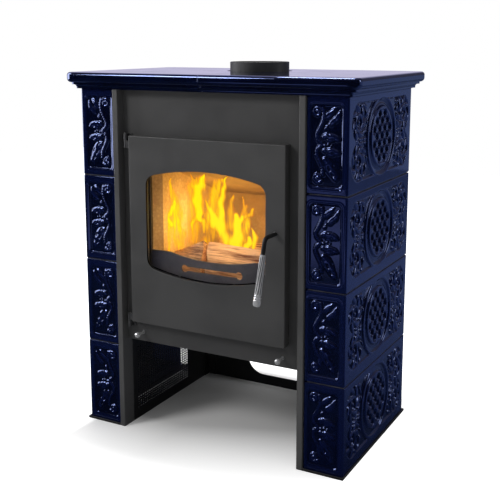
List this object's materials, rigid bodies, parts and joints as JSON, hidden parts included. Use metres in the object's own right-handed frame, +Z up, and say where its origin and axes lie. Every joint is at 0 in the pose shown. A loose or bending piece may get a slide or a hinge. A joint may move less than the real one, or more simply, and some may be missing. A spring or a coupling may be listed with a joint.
{
  "type": "tiled stove",
  "caption": "Free-standing wood stove: steel firebox between stacks of glazed relief tiles, under a moulded glazed top plate, with a windowed door over an open wood store.",
  "frame": {"origin": "on the floor, at the middle of the stove's overall outline seen from above, door handle included", "axes": "+X to the stove's right as seen from the front, +Y to its back, +Z up; the door faces -Y"},
  "size_m": [0.769, 0.5321, 0.922],
  "materials": {
    "glaze": "deep cobalt glazed ceramic, high gloss",
    "plate_glaze": "deep cobalt glazed ceramic slab, high gloss",
    "joint_strip": "pale grey mineral fibre strip",
    "steel_bracket": "zinc-plated steel",
    "post_paint": "charcoal heat-proof paint on folded steel",
    "core_paint": "charcoal heat-proof paint on sheet steel",
    "panel_paint": "charcoal heat-proof paint on plate",
    "collar_paint": "charcoal heat-proof paint on rolled steel",
    "brick": "vermiculite lining, sooted by use",
    "hearth": "fireclay",
    "iron": "bare cast iron, dull",
    "pan_steel": "plain sheet steel",
    "bark": "split firewood",
    "door_paint": "charcoal heat-proof paint on cast iron",
    "glass": "clear ceramic glass",
    "gasket": "braided glass-fibre rope and tape",
    "zinc": "zinc-plated steel",
    "hinge_steel": "bare turned steel",
    "chrome": "polished chrome plate"
  },
  "bodies": {
    "stove_body": {"tile_left_1": "glaze", "tile_left_2": "glaze", "tile_left_3": "glaze", "tile_left_4": "glaze", "tile_right_1": "glaze", "tile_right_2": "glaze", "tile_right_3": "glaze", "tile_right_4": "glaze", "top_plate_left": "plate_glaze", "top_plate_right": "plate_glaze", "tile_joint_strips": "joint_strip", "tile_brackets": "steel_bracket", "front_post_left": "post_paint", "front_post_right": "post_paint", "base_tray_left": "post_paint", "base_tray_right": "post_paint", "rear_post_left": "core_paint", "rear_post_right": "core_paint", "side_sheet_left": "core_paint", "side_sheet_right": "core_paint", "back_panel": "core_paint", "rear_heat_shield": "core_paint", "core_cover": "core_paint", "air_box": "core_paint", "firebox_shell": "core_paint", "front_panel": "panel_paint", "flue_collar": "collar_paint", "lining_brick_left": "brick", "lining_brick_right": "brick", "lining_brick_rear": "brick", "baffle": "brick", "hearth_plate": "hearth", "grate": "iron", "log_guard": "iron", "ash_pan": "pan_steel", "split_logs": "bark", "rear_screws": "zinc", "latch_keeper": "zinc", "rod_bushes": "zinc", "hinge_brackets": "hinge_steel", "hinge_pins": "hinge_steel"},
    "door": {"door_leaf": "door_paint", "door_glass": "glass", "glass_gasket": "gasket", "rope_seal": "gasket", "glass_clips": "zinc", "glass_clip_screws": "zinc", "hinge_lugs": "hinge_steel", "spindle_bush": "zinc"},
    "door_handle": {"handle_rod": "chrome", "handle_grip": "chrome", "latch_cam": "zinc", "cam_nut": "zinc"},
    "air_control_left": {"air_rod_left": "chrome", "air_knob_left": "chrome", "air_gate_left": "zinc"},
    "air_control_right": {"air_rod_right": "chrome", "air_knob_right": "chrome", "air_gate_right": "zinc"}
  },
  "joints": [
    {"name": "door_hinge", "type": "hinge", "parent": "stove_body", "child": "door", "pos_m": [-0.225, -0.177, 0.517], "axis": [0, 0, -1], "range_deg": [0, 105]},
    {"name": "handle_turn", "type": "hinge", "parent": "door", "child": "door_handle", "pos_m": [0.186, -0.177, 0.5497], "axis": [0, -1, 0], "range_deg": [-15, 60]},
    {"name": "air_slide_left", "type": "slide", "parent": "stove_body", "child": "air_control_left", "axis": [0, -1, 0], "range_m": [-0.015, 0.03]},
    {"name": "air_slide_right", "type": "slide", "parent": "stove_body", "child": "air_control_right", "axis": [0, -1, 0], "range_m": [-0.015, 0.03]}
  ]
}
